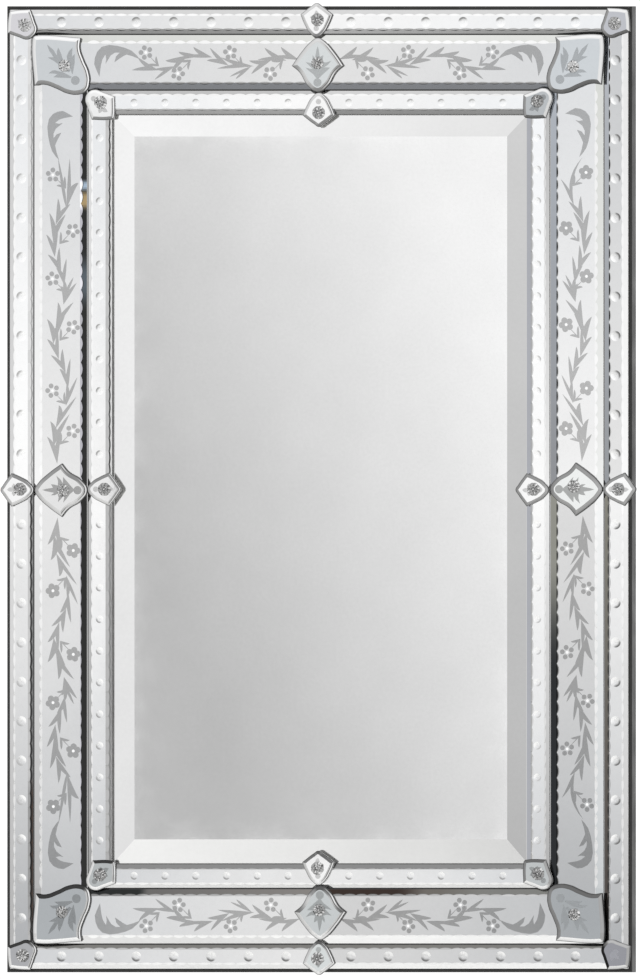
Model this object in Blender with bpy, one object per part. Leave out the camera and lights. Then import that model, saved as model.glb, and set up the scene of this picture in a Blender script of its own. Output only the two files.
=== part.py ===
"""Wall mirror in the Venetian manner: a bevelled plate inside three rings of mirrored glass.

Metres, +Z up, the front faces -Y. The origin is the middle of the top rail's back face, which
hangs flat against the wall. Every piece is a child of one empty at the middle of the mirror.
"""

import math

import bmesh
import bpy
from mathutils import Matrix, Vector

# Wooden frame
FRAME_WIDTH = 0.800
FRAME_HEIGHT = 1.200
FRAME_DEPTH = 0.022
FRAME_MARGIN = 0.0044
FRAME_CHAMFER = 0.0012
RAIL_WIDTH = 0.128

# Gaps between touching pieces, and the black lines left between the rings
TOUCH_GAP = 0.0003
RING_GAP = 0.0010

# Glass: thickness of every piece, and how far a bevel falls towards its edge
GLASS = 0.0050
BEVEL_FALL = 0.0024

# Central plate and the panel behind it
PLATE_RECESS = 0.0015
PLATE_BEVEL = 0.034
PANEL_THICKNESS = 0.006

# Rings of strips, from the frame's edge inwards: width, outer bevel, inner bevel
RINGS = {
    "outer_strip": {"width": 0.0304, "outer_bevel": 0.0065, "inner_bevel": 0.0065},
    "etched_panel": {"width": 0.0682, "outer_bevel": 0.0098, "inner_bevel": 0.0090},
    "inner_strip": {"width": 0.0296, "outer_bevel": 0.0054, "inner_bevel": 0.0068},
}

# Ball cuts along a half strip: radius, depth, the share of the radius that is flat floor, and for
# the horizontal and the upright sides the distances of the first and the last from the middle of
# the side, and their number
BALL_CUTS = {
    "outer_strip": {
        "radius": 0.0064,
        "depth": 0.0012,
        "floor": 0.45,
        "horizontal": (0.0416, 0.3290, 7),
        "upright": (0.0435, 0.5330, 11),
    },
    "inner_strip": {
        "radius": 0.0049,
        "depth": 0.0010,
        "floor": 0.0,
        "horizontal": (0.0388, 0.2360, 6),
        "upright": (0.0435, 0.4365, 11),
    },
}
BALL_CUT_SIDES = 8

# Cover plates: bevel widths, and where their outlines start, measured from the frame's middle
LARGE_BEVEL = 0.0054
SMALL_BEVEL = 0.0042
CORNER_OUTER = (0.3988, 0.5980)
CORNER_LARGE = (0.3665, 0.5645)
CORNER_INNER = (0.2605, 0.4609)
MIDDLE_OUTER = (0.4056, 0.6040)
MIDDLE_LARGE = (0.3626, 0.5608)
MIDDLE_INNER = (0.2519, 0.4501)
OUTLINE_STEPS = 2

# Rosettes: radius to the petal tips and to the notches, radius of the crown, height
ROSETTE_RADIUS = 0.0079
ROSETTE_NOTCH = 0.0066
ROSETTE_CROWN = 0.0040
ROSETTE_HEIGHT = 0.0040
ROSETTE_PETALS = 8
ROSETTE_SINK = 0.0004

# How far along the middle line of its cover plate each rosette stands
ROSETTE_ON_LARGE_CORNER = 0.0393
ROSETTE_ON_SMALL_CORNER = 0.0182
ROSETTE_ON_LARGE_MIDDLE = 0.0312
ROSETTE_ON_SMALL_MIDDLE = 0.0208

# The one cover plate that has lost its rosette
BARE_PLATE = "corner_plate_bottom_right_outer"

# Half outlines of the cover plates. A corner plate's points are (along one edge, away from it)
# from its square corner and are mirrored in the diagonal; a middle plate's are (to the side,
# inwards) from its outer tip and are mirrored in the middle line. SHARP points are corners.
SMOOTH = "AUTO"
SHARP = "VECTOR"
LARGE_CORNER = [
    (0.0018, 0.0018, SMOOTH),
    (0.0085, 0.0000, SMOOTH),
    (0.0625, 0.0030, SHARP),
    (0.0613, 0.0160, SMOOTH),
    (0.0662, 0.0310, SMOOTH),
    (0.0722, 0.0450, SMOOTH),
    (0.0736, 0.0590, SMOOTH),
    (0.0693, 0.0693, SMOOTH),
]
SMALL_CORNER = [
    (0.0014, 0.0014, SMOOTH),
    (0.0062, 0.0000, SMOOTH),
    (0.0290, 0.0000, SHARP),
    (0.0340, 0.0140, SMOOTH),
    (0.0374, 0.0258, SMOOTH),
    (0.0338, 0.0338, SMOOTH),
]
LARGE_MIDDLE = [
    (0.0000, 0.0000, SMOOTH),
    (0.0080, 0.0038, SMOOTH),
    (0.0210, 0.0176, SMOOTH),
    (0.0333, 0.0348, SHARP),
    (0.0236, 0.0430, SMOOTH),
    (0.0128, 0.0598, SMOOTH),
    (0.0000, 0.0675, SMOOTH),
]
SMALL_MIDDLE = [
    (0.0000, 0.0000, SMOOTH),
    (0.0062, 0.0034, SMOOTH),
    (0.0207, 0.0142, SHARP),
    (0.0160, 0.0255, SMOOTH),
    (0.0088, 0.0372, SMOOTH),
    (0.0000, 0.0425, SMOOTH),
]

# Depths of the layers, measured from the wall towards the front
STRIP_BACK = FRAME_DEPTH + TOUCH_GAP
STRIP_FRONT = STRIP_BACK + GLASS
COVER_BACK = STRIP_FRONT + TOUCH_GAP
COVER_FRONT = COVER_BACK + GLASS
PLATE_FRONT = FRAME_DEPTH - PLATE_RECESS
PLATE_BACK = PLATE_FRONT - GLASS
PANEL_FRONT = PLATE_BACK - TOUCH_GAP

# The sides in turn: quarter turns about Y that bring the top side there, and the names of the
# halves at the negative and the positive end of the turned side
SIDES = {
    "top": (0, "left", "right"),
    "right": (1, "upper", "lower"),
    "bottom": (2, "right", "left"),
    "left": (3, "lower", "upper"),
}
CORNERS = {"top_left": (-1, 1), "top_right": (1, 1), "bottom_left": (-1, -1), "bottom_right": (1, -1)}


def clear_scene():
    for item in list(bpy.data.objects):
        bpy.data.objects.remove(item, do_unlink=True)


def new_collection(name):
    collection = bpy.data.collections.new(name)
    bpy.context.scene.collection.children.link(collection)
    return collection


def new_material(name, colour, roughness, metallic):
    material = bpy.data.materials.new(name)
    material.use_nodes = True
    shader = material.node_tree.nodes["Principled BSDF"]
    shader.inputs["Base Color"].default_value = (*colour, 1.0)
    shader.inputs["Roughness"].default_value = roughness
    shader.inputs["Metallic"].default_value = metallic
    material.diffuse_color = (*colour, 1.0)
    return material


def place(bm, name, collection, middle, turns=0, material=None):
    """Make an object of the mesh, turned about Y by quarter turns round the mirror's middle."""
    mesh = bpy.data.meshes.new(name)
    bm.to_mesh(mesh)
    bm.free()
    piece = bpy.data.objects.new(name, mesh)
    collection.objects.link(piece)
    piece.parent = middle
    piece.rotation_euler = (0.0, turns * math.pi / 2, 0.0)
    if material:
        mesh.materials.append(material)
    return piece


def boolean(piece, other, operation):
    other.hide_render = True
    other.display_type = "WIRE"
    modifier = piece.modifiers.new(operation.lower(), "BOOLEAN")
    modifier.operation = operation
    modifier.object = other
    modifier.solver = "EXACT"


def half_size(turns):
    """Half the frame's length along a side, and its half size outwards, for the turned side."""
    along, outwards = FRAME_WIDTH / 2, FRAME_HEIGHT / 2
    if turns % 2:
        along, outwards = outwards, along
    return along, outwards


def bar(profile, start, end):
    """A bar along X from a section of (depth, outwards) points."""
    bm = bmesh.new()
    section = bm.faces.new([bm.verts.new((start, -depth, outwards)) for depth, outwards in profile])
    grown = bmesh.ops.extrude_face_region(bm, geom=[section])["geom"]
    far_end = [item for item in grown if isinstance(item, bmesh.types.BMVert)]
    bmesh.ops.translate(bm, verts=far_end, vec=(end - start, 0.0, 0.0))
    bmesh.ops.recalc_face_normals(bm, faces=bm.faces)
    return bm


def cut_mitre(bm, corner_along, corner_outwards, direction):
    """Cut the bar at 45 degrees through a corner of its ring, less half the touching gap."""
    normal = Vector((direction, 0.0, -1.0)).normalized()
    corner = Vector((direction * corner_along, 0.0, corner_outwards))
    cut = bmesh.ops.bisect_plane(
        bm,
        geom=bm.verts[:] + bm.edges[:] + bm.faces[:],
        plane_co=corner - normal * TOUCH_GAP / 2,
        plane_no=normal,
        clear_outer=True,
    )
    rim = [item for item in cut["geom_cut"] if isinstance(item, bmesh.types.BMEdge)]
    bmesh.ops.contextual_create(bm, geom=rim)
    bmesh.ops.recalc_face_normals(bm, faces=bm.faces)


def frame_rail(side, collection, middle, material):
    turns = SIDES[side][0]
    along, outwards = half_size(turns)
    inner = outwards - RAIL_WIDTH
    edge = outwards - FRAME_CHAMFER
    profile = [
        (0.0, inner),
        (0.0, edge),
        (FRAME_CHAMFER, outwards),
        (FRAME_DEPTH - FRAME_CHAMFER, outwards),
        (FRAME_DEPTH, edge),
        (FRAME_DEPTH, inner),
    ]
    bm = bar(profile, -along, along)
    for direction in (-1, 1):
        cut_mitre(bm, along, outwards, direction)
    place(bm, f"frame_rail_{side}", collection, middle, turns, material)


def ring_edges():
    """Distance of each ring's outer edge from the frame's edge."""
    edges = {}
    reached = FRAME_MARGIN
    for ring, sizes in RINGS.items():
        edges[ring] = reached
        reached += sizes["width"] + RING_GAP
    return edges


def strip_profile(ring, outwards):
    """Section of a bevelled strip whose outer edge lies at the given distance."""
    sizes = RINGS[ring]
    inner = outwards - sizes["width"]
    shoulder = STRIP_FRONT - BEVEL_FALL
    return [
        (STRIP_BACK, inner),
        (STRIP_BACK, outwards),
        (shoulder, outwards),
        (STRIP_FRONT, outwards - sizes["outer_bevel"]),
        (STRIP_FRONT, inner + sizes["inner_bevel"]),
        (shoulder, inner),
    ]


def ball_cutter(ring, turns, direction, outwards):
    """Shallow cones in a row, which stand for the ball cuts of a half strip."""
    cuts = BALL_CUTS[ring]
    first, last, count = cuts["upright" if turns % 2 else "horizontal"]
    radius, depth = cuts["radius"], cuts["depth"]
    floor = radius * cuts["floor"]
    centre = outwards - RINGS[ring]["width"] / 2
    bm = bmesh.new()
    for index in range(count):
        along = direction * (first + (last - first) * index / (count - 1))
        rows = Matrix.Translation((along, -STRIP_FRONT, centre)) @ Matrix.Rotation(math.pi / 2, 4, "X")
        bmesh.ops.create_cone(
            bm,
            cap_ends=True,
            segments=BALL_CUT_SIDES,
            radius1=floor,
            radius2=2 * radius - floor,
            depth=2 * depth,
            matrix=rows,
        )
    return bm


def ring_strips(ring, side, collection, cutters, middle, material):
    turns, *halves = SIDES[side]
    along, outwards = (size - ring_edges()[ring] for size in half_size(turns))
    for direction, half in zip((-1, 1), halves):
        name = f"{ring}_{side}_{half}"
        bm = bar(strip_profile(ring, outwards), direction * RING_GAP / 2, direction * along)
        cut_mitre(bm, along, outwards, direction)
        strip = place(bm, name, collection, middle, turns, material)
        if ring in BALL_CUTS:
            rows = ball_cutter(ring, turns, direction, outwards)
            boolean(strip, place(rows, f"{name}_ball_cuts", cutters, middle, turns), "DIFFERENCE")


def raise_bevelled(bm, bevel_width):
    """Thicken the one face of the mesh towards -Y into a plate with a bevelled front."""
    back = bm.faces[:]
    grown = bmesh.ops.extrude_face_region(bm, geom=back)["geom"]
    front = [item for item in grown if isinstance(item, bmesh.types.BMFace)]
    front_verts = [item for item in grown if isinstance(item, bmesh.types.BMVert)]
    bmesh.ops.translate(bm, verts=front_verts, vec=(0.0, BEVEL_FALL - GLASS, 0.0))
    bmesh.ops.recalc_face_normals(bm, faces=bm.faces)
    bmesh.ops.inset_region(bm, faces=front, thickness=bevel_width, depth=BEVEL_FALL, use_even_offset=True)


def flat_rectangle(half_width, half_height, depth):
    bm = bmesh.new()
    bmesh.ops.create_grid(bm, x_segments=1, y_segments=1, size=1.0)
    bmesh.ops.scale(bm, vec=(half_width, half_height, 1.0), verts=bm.verts)
    bmesh.ops.rotate(bm, verts=bm.verts, matrix=Matrix.Rotation(math.pi / 2, 3, "X"))
    bmesh.ops.translate(bm, verts=bm.verts, vec=(0.0, -depth, 0.0))
    return bm


def centre_plate_and_panel(collection, middle, glass, wood):
    half_width = FRAME_WIDTH / 2 - RAIL_WIDTH - TOUCH_GAP
    half_height = FRAME_HEIGHT / 2 - RAIL_WIDTH - TOUCH_GAP
    plate = flat_rectangle(half_width, half_height, PLATE_BACK)
    raise_bevelled(plate, PLATE_BEVEL)
    place(plate, "centre_mirror", collection, middle, 0, glass)
    panel = bmesh.new()
    bmesh.ops.create_cube(panel, size=1.0)
    bmesh.ops.scale(panel, vec=(2 * half_width, PANEL_THICKNESS, 2 * half_height), verts=panel.verts)
    bmesh.ops.translate(panel, vec=(0.0, PANEL_THICKNESS / 2 - PANEL_FRONT, 0.0), verts=panel.verts)
    place(panel, "back_panel", collection, middle, 0, wood)


def outline_face(points):
    """One flat face in the XY plane inside a smooth closed curve through the points."""
    curve = bpy.data.curves.new("outline", "CURVE")
    curve.dimensions = "2D"
    curve.fill_mode = "BOTH"
    curve.resolution_u = OUTLINE_STEPS
    spline = curve.splines.new("BEZIER")
    spline.bezier_points.add(len(points) - 1)
    spline.use_cyclic_u = True
    for knot, (x, y, kind) in zip(spline.bezier_points, points):
        knot.co = (x, y, 0.0)
        knot.handle_left_type = kind
        knot.handle_right_type = kind
    guide = bpy.data.objects.new("outline", curve)
    bpy.context.scene.collection.objects.link(guide)
    evaluated = guide.evaluated_get(bpy.context.evaluated_depsgraph_get())
    mesh = bpy.data.meshes.new_from_object(evaluated)
    bpy.data.objects.remove(guide, do_unlink=True)
    bpy.data.curves.remove(curve)
    bm = bmesh.new()
    bm.from_mesh(mesh)
    bpy.data.meshes.remove(mesh)
    bmesh.ops.dissolve_faces(bm, faces=bm.faces[:])
    return bm


def corner_outline(half):
    """Mirror a half outline in the diagonal. The first and the last point lie on it."""
    return half + [(away, along, kind) for along, away, kind in reversed(half[1:-1])]


def middle_outline(half):
    """Mirror a half outline in the middle line. The first and the last point lie on it."""
    return half + [(-aside, inwards, kind) for aside, inwards, kind in reversed(half[1:-1])]


def rosette(x, z):
    """A fluted stud: a low cone whose foot is drawn in between its petals."""
    bm = bmesh.new()
    rows = Matrix.Translation((x, -COVER_FRONT - (ROSETTE_HEIGHT - ROSETTE_SINK) / 2, z))
    bmesh.ops.create_cone(
        bm,
        cap_ends=True,
        segments=2 * ROSETTE_PETALS,
        radius1=ROSETTE_RADIUS,
        radius2=ROSETTE_CROWN,
        depth=ROSETTE_HEIGHT + ROSETTE_SINK,
        matrix=rows @ Matrix.Rotation(math.pi / 2, 4, "X"),
    )
    foot = [vert for vert in bm.verts if vert.co.y > -COVER_FRONT]
    foot.sort(key=lambda vert: math.atan2(vert.co.z - z, vert.co.x - x))
    for vert in foot[::2]:
        vert.co.x = x + (vert.co.x - x) * ROSETTE_NOTCH / ROSETTE_RADIUS
        vert.co.z = z + (vert.co.z - z) * ROSETTE_NOTCH / ROSETTE_RADIUS
    return bm


def cover_plate(name, outline, to_face, stud, bevel, groups, turns=0):
    """A bevelled plate of the outline, joined with its rosette. to_face maps (x, y) to (x, z)."""
    collection, cutters, middle, material = groups
    bm = outline_face(outline)
    for vert in bm.verts:
        x, z = to_face(vert.co.x, vert.co.y)
        vert.co = (x, -COVER_BACK, z)
    raise_bevelled(bm, bevel)
    plate = place(bm, name, collection, middle, turns, material)
    if name == BARE_PLATE:
        return
    flower = place(rosette(*to_face(*stud)), f"{name}_rosette", cutters, middle, turns)
    boolean(plate, flower, "UNION")


def corner_plates(corner, groups):
    right, up = CORNERS[corner]
    kinds = (
        ("", CORNER_LARGE, -1, LARGE_CORNER, ROSETTE_ON_LARGE_CORNER, LARGE_BEVEL),
        ("_outer", CORNER_OUTER, -1, SMALL_CORNER, ROSETTE_ON_SMALL_CORNER, SMALL_BEVEL),
        ("_inner", CORNER_INNER, 1, SMALL_CORNER, ROSETTE_ON_SMALL_CORNER, SMALL_BEVEL),
    )
    for suffix, (start_x, start_z), away, half, stud, bevel in kinds:

        def to_face(along_x, along_z):
            return right * (start_x + away * along_x), up * (start_z + away * along_z)

        outline = corner_outline(half)
        cover_plate(f"corner_plate_{corner}{suffix}", outline, to_face, (stud, stud), bevel, groups)


def middle_plates(side, groups):
    turns = SIDES[side][0]
    kinds = (
        ("", MIDDLE_LARGE, -1, LARGE_MIDDLE, ROSETTE_ON_LARGE_MIDDLE, LARGE_BEVEL),
        ("_outer", MIDDLE_OUTER, -1, SMALL_MIDDLE, ROSETTE_ON_SMALL_MIDDLE, SMALL_BEVEL),
        ("_inner", MIDDLE_INNER, 1, SMALL_MIDDLE, ROSETTE_ON_SMALL_MIDDLE, SMALL_BEVEL),
    )
    for suffix, starts, away, half, stud, bevel in kinds:
        start = starts[(turns + 1) % 2]

        def to_face(aside, inwards):
            return aside, start + away * inwards

        outline = middle_outline(half)
        name = f"middle_plate_{side}{suffix}"
        cover_plate(name, outline, to_face, (0.0, stud), bevel, groups, turns)


def main():
    clear_scene()
    parts = new_collection("wall_mirror")
    cutters = new_collection("cutters")
    middle = bpy.data.objects.new("mirror_middle", None)
    middle.location = (0.0, 0.0, (RAIL_WIDTH - FRAME_HEIGHT) / 2)
    parts.objects.link(middle)

    black_wood = new_material("black_painted_wood", (0.018, 0.018, 0.018), 0.45, 0.0)
    panel_wood = new_material("back_panel_wood", (0.030, 0.028, 0.026), 0.70, 0.0)
    plate_glass = new_material("centre_mirror_glass", (0.86, 0.87, 0.87), 0.03, 1.0)
    ring_glass = {
        "outer_strip": new_material("outer_strip_glass", (0.84, 0.85, 0.86), 0.05, 1.0),
        "etched_panel": new_material("etched_panel_glass", (0.78, 0.79, 0.80), 0.10, 1.0),
        "inner_strip": new_material("inner_strip_glass", (0.86, 0.87, 0.88), 0.05, 1.0),
    }
    cover_glass = new_material("cover_plate_glass", (0.70, 0.72, 0.75), 0.08, 1.0)

    for side in SIDES:
        frame_rail(side, parts, middle, black_wood)
        for ring in RINGS:
            ring_strips(ring, side, parts, cutters, middle, ring_glass[ring])
        middle_plates(side, (parts, cutters, middle, cover_glass))
    for corner in CORNERS:
        corner_plates(corner, (parts, cutters, middle, cover_glass))
    centre_plate_and_panel(parts, middle, plate_glass, panel_wood)


main()
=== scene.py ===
"""Looks of the wall mirror: silvered glass, an etched vine, glass rosettes and a black frame."""

import math
import random
from collections import namedtuple
from functools import partial

import bmesh
import bpy
from mathutils import Matrix, Vector
from mathutils.geometry import delaunay_2d_cdt


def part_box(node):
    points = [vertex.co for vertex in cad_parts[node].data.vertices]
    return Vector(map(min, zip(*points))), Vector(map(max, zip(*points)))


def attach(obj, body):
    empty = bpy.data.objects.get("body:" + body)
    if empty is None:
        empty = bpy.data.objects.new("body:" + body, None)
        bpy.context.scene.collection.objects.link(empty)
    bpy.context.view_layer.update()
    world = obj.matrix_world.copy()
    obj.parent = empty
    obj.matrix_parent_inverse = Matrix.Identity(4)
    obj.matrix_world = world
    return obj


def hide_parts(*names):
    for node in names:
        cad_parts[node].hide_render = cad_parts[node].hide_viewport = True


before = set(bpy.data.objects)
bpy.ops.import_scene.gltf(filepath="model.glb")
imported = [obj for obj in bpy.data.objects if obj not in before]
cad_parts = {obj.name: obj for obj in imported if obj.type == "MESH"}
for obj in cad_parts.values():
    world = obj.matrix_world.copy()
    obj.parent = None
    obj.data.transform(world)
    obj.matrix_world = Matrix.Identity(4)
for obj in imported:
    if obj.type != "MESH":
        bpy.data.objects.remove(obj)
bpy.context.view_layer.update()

# --- places taken from the frame
# Metres. The mirror hangs in the XZ plane, its front towards -Y.
PLATE_LOW, PLATE_HIGH = (Vector(corner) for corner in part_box("centre_mirror"))
MIDDLE = Vector((0.0, 0.0, (PLATE_LOW.z + PLATE_HIGH.z) / 2))
STRIP_LOW, STRIP_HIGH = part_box("outer_strip_top_left")
COVER_LOW, COVER_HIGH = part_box("corner_plate_bottom_right_outer")
STRIP_FRONT, STRIP_BACK = -STRIP_LOW[1], -STRIP_HIGH[1]
COVER_FRONT, COVER_BACK = -COVER_LOW[1], -COVER_HIGH[1]
PLATE_FRONT, PLATE_BACK = -PLATE_LOW.y, -PLATE_HIGH.y

# Each side's quarter turns from the top, and its halves, before and after its middle clockwise
SIDES = {
    "top": (0, "left", "right"),
    "right": (1, "upper", "lower"),
    "bottom": (2, "right", "left"),
    "left": (3, "lower", "upper"),
}
# The signs of each corner's quarter, across and up
CORNERS = {
    "top_left": (-1, 1), "top_right": (1, 1), "bottom_left": (-1, -1), "bottom_right": (1, -1),
}
BARE_PLATE = "corner_plate_bottom_right_outer"

# --- sizes of the glass
MM = 0.001
# How near two corners count as one
TOUCHING = 2e-6
BEVEL_FALL = 0.0024
# The widths of each ring's outer and inner bevel
BEVELS = {
    "outer_strip": (0.0065, 0.0065),
    "etched_panel": (0.0098, 0.0090),
    "inner_strip": (0.0054, 0.0068),
}
SCALLOP_LENGTH = 0.0155
SCALLOP_STEPS = 8
SCALLOP_DEPTH = 0.0004
# How much the scallops' lengths differ, and the width of the narrowest, as shares
SCALLOP_SPREAD = 0.08
SCALLOP_NARROWEST = 0.82

# Ball cuts: radius, depth, and first, last and number along a half of a level and an upright side
BALL_CUTS = {
    "outer_strip": (0.0064, 0.0016, ((0.0416, 0.3290, 7), (0.0435, 0.5330, 11))),
    "inner_strip": (0.0049, 0.0012, ((0.0388, 0.2360, 6), (0.0435, 0.4365, 11))),
}
# The shaded side of a ball cut, in the turned side's own axes, along and outwards
BALL_SHADE = {
    "top": (-0.20, 0.98), "bottom": (0.25, 0.97),
    "upper_right": (-0.50, 0.87), "lower_right": (0.70, 0.71),
    "lower_left": (-0.76, 0.65), "upper_left": (0.60, 0.80),
}
# The darkest painted shade in each ring's ball cuts, by side
BALL_SHADE_TONES = {
    "outer_strip": {"left": 186, "top": 146, "right": 118, "bottom": 120},
    "inner_strip": {"left": 168, "top": 178, "right": 196, "bottom": 160},
}
BALL_SIDES = 24
BALL_RINGS = (0.90, 0.74, 0.52, 0.26)

# --- light
WORLD_LIGHT = 1.10
# What the glass's unevenness leaves of its colour on average
EVEN_SHARE = 0.967
WHITE = 255.0


def linear(value):
    """A display tone from 0 to 255 as the linear share of light."""
    share = max(value, 0.0) / WHITE
    return share / 12.92 if share <= 0.04045 else ((share + 0.055) / 1.055) ** 2.4


def three(tone):
    """A tone as red, green and blue. Most tones are a plain grey, given as one number."""
    return (tone,) * 3 if isinstance(tone, (int, float)) else tone


def colour_with_painted_light(tone):
    """The reflecting colour that shows as the tone, mostly painted light, under the scene's even
    light.
    """
    full = WORLD_LIGHT * EVEN_SHARE
    return tuple(min(linear(value) / full, 0.98) for value in three(tone)) + (1.0,)


def mixed(first, second, share):
    share = min(max(share, 0.0), 1.0)
    return tuple(a + (b - a) * share for a, b in zip(three(first), three(second)))


def shifted(tone, amount):
    """The tone with an amount, or one for each channel, added."""
    return tuple(a + b for a, b in zip(three(tone), three(amount)))


def smoothstep(low, high, value):
    share = min(max((value - low) / (high - low), 0.0), 1.0)
    return share * share * (3.0 - 2.0 * share)


# --- materials
# The part of a noise's range that its values mostly fill
NOISE_LOW, NOISE_HIGH = 0.3, 0.7
# The scales of the glass's clouding and of its dull patches
CLOUD_SCALE, DULLNESS_SCALE = 9.0, 34.0
GLASS_BUMP, PAINT_BUMP = 0.0006, 0.0008
ROUGHNESS_SPREAD = 0.08


class Nodes:
    """Short calls to wire up one material."""

    def __init__(self, name):
        self.material = bpy.data.materials.new(name)
        self.material.use_nodes = True
        self.tree = self.material.node_tree
        self.shader = self.tree.nodes["Principled BSDF"]

    def set(self, **values):
        for name, value in values.items():
            self.shader.inputs[name.replace("_", " ")].default_value = value

    def add(self, kind, inputs=None, **settings):
        node = self.tree.nodes.new(kind)
        for name, value in settings.items():
            setattr(node, name, value)
        for name, value in (inputs or {}).items():
            if isinstance(value, bpy.types.NodeSocket):
                self.tree.links.new(value, node.inputs[name])
            else:
                node.inputs[name].default_value = value
        return node

    def noise(self, scale, detail=3.0, roughness=0.5, stretch=None):
        place = self.add("ShaderNodeTexCoord").outputs["Object"]
        if stretch:
            inputs = {"Vector": place, "Scale": stretch}
            place = self.add("ShaderNodeMapping", inputs).outputs["Vector"]
        inputs = {"Vector": place, "Scale": scale, "Detail": detail, "Roughness": roughness}
        return self.add("ShaderNodeTexNoise", inputs).outputs["Fac"]

    def spread(self, value, low, high):
        """Map a noise value onto a range."""
        return self.ranged(value, NOISE_LOW, NOISE_HIGH, low, high)

    def ranged(self, value, *ends):
        names = ("Value", "From Min", "From Max", "To Min", "To Max")
        return self.add("ShaderNodeMapRange", dict(zip(names, (value, *ends)))).outputs["Result"]

    def blend(self, factor, first, second, mode="MIX"):
        inputs = {0: factor, 6: first, 7: second}
        return self.add("ShaderNodeMix", inputs, data_type="RGBA", blend_type=mode).outputs[2]

    def maths(self, first, second, operation):
        return self.add("ShaderNodeMath", {0: first, 1: second}, operation=operation).outputs[0]

    def bump(self, height, strength, distance):
        inputs = {"Height": height, "Strength": strength, "Distance": distance}
        self.link("Normal", self.add("ShaderNodeBump", inputs).outputs["Normal"])

    def link(self, name, socket):
        self.tree.links.new(socket, self.shader.inputs[name])


def glass_with_painted_light(name, metallic, rough_low, rough_high, shade_low, grain_scale, bump_strength):
    """Silvered glass whose faces carry mostly painted light, a little uneven and cloudy with age.
    """
    nodes = Nodes(name)
    nodes.set(Metallic=metallic)
    tone = nodes.add("ShaderNodeVertexColor", layer_name="colour_with_painted_light").outputs["Color"]
    cloud = nodes.spread(nodes.noise(CLOUD_SCALE, 4.0, 0.6), shade_low, 1.0)
    grain = nodes.spread(nodes.noise(grain_scale, 2.0), (1.0 + shade_low) / 2, 1.0)
    uneven = nodes.maths(cloud, grain, "MULTIPLY")
    shade = nodes.add("ShaderNodeCombineColor", {"Red": uneven, "Green": uneven, "Blue": uneven})
    nodes.link("Base Color", nodes.blend(1.0, tone, shade.outputs["Color"], "MULTIPLY"))
    nodes.link("Roughness", nodes.spread(nodes.noise(DULLNESS_SCALE), rough_low, rough_high))
    nodes.bump(nodes.noise(grain_scale * 0.5, 2.0), bump_strength, GLASS_BUMP)
    return nodes.material


def plain_finish(name, dark, light, scale, roughness, bump_strength, stretch=None, gloss=0.5):
    """A painted or bare surface that varies between two colours."""
    nodes = Nodes(name)
    nodes.set(Specular_IOR_Level=gloss)
    grain = nodes.noise(scale, 6.0, 0.62, stretch)
    share = nodes.spread(grain, 0.0, 1.0)
    nodes.link("Base Color", nodes.blend(share, (*dark, 1.0), (*light, 1.0)))
    low, high = roughness - ROUGHNESS_SPREAD, roughness + ROUGHNESS_SPREAD
    nodes.link("Roughness", nodes.spread(nodes.noise(scale * 0.4), low, high))
    nodes.bump(grain, bump_strength, PAINT_BUMP)
    return nodes.material


HOLLOW = glass_with_painted_light("polished_hollow", 1.0, 0.24, 0.30, 0.97, 240.0, 0.01)
SILVERED = glass_with_painted_light("silvered_glass", 1.0, 0.030, 0.055, 0.955, 240.0, 0.012)
ETCHED = glass_with_painted_light("acid_etched_glass", 0.85, 0.42, 0.56, 0.94, 900.0, 0.10)
MOULDED = glass_with_painted_light("moulded_glass", 0.92, 0.05, 0.14, 0.86, 420.0, 0.05)
GROUND = glass_with_painted_light("ground_glass_edge", 0.0, 0.40, 0.52, 0.80, 420.0, 0.20)
BACKING = plain_finish(
    "silver_backing_paint", (0.62, 0.62, 0.61), (0.74, 0.74, 0.72), 26.0, 0.72, 0.30
)
BLACK_PAINT = plain_finish(
    "black_paint_on_wood", (0.006, 0.006, 0.006), (0.015, 0.015, 0.014), 60.0, 0.44, 0.22,
    gloss=0.42,
)
FIBREBOARD = plain_finish(
    "fibreboard", (0.075, 0.045, 0.024), (0.16, 0.105, 0.060), 150.0, 0.82, 0.30, (1.0, 1.0, 0.25)
)
GLASS_MATERIALS = (SILVERED, ETCHED, GROUND, BACKING, MOULDED, HOLLOW)
SILVER, ETCH, EDGE, BACK, MOULD, BALL = range(len(GLASS_MATERIALS))


# --- building one piece of glass
def placed(name, data):
    """A new object in the scene. data is its own, or a mesh under way, which this ends."""
    if isinstance(data, bmesh.types.BMesh):
        mesh = bpy.data.meshes.new(name)
        data.to_mesh(mesh)
        data.free()
        data = mesh
    made = bpy.data.objects.new(name, data)
    bpy.context.scene.collection.objects.link(made)
    return made


def tone_for(tone, key):
    """The tone itself, or what it gives for the key where it is a function."""
    return tone(key) if callable(tone) else tone


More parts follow.
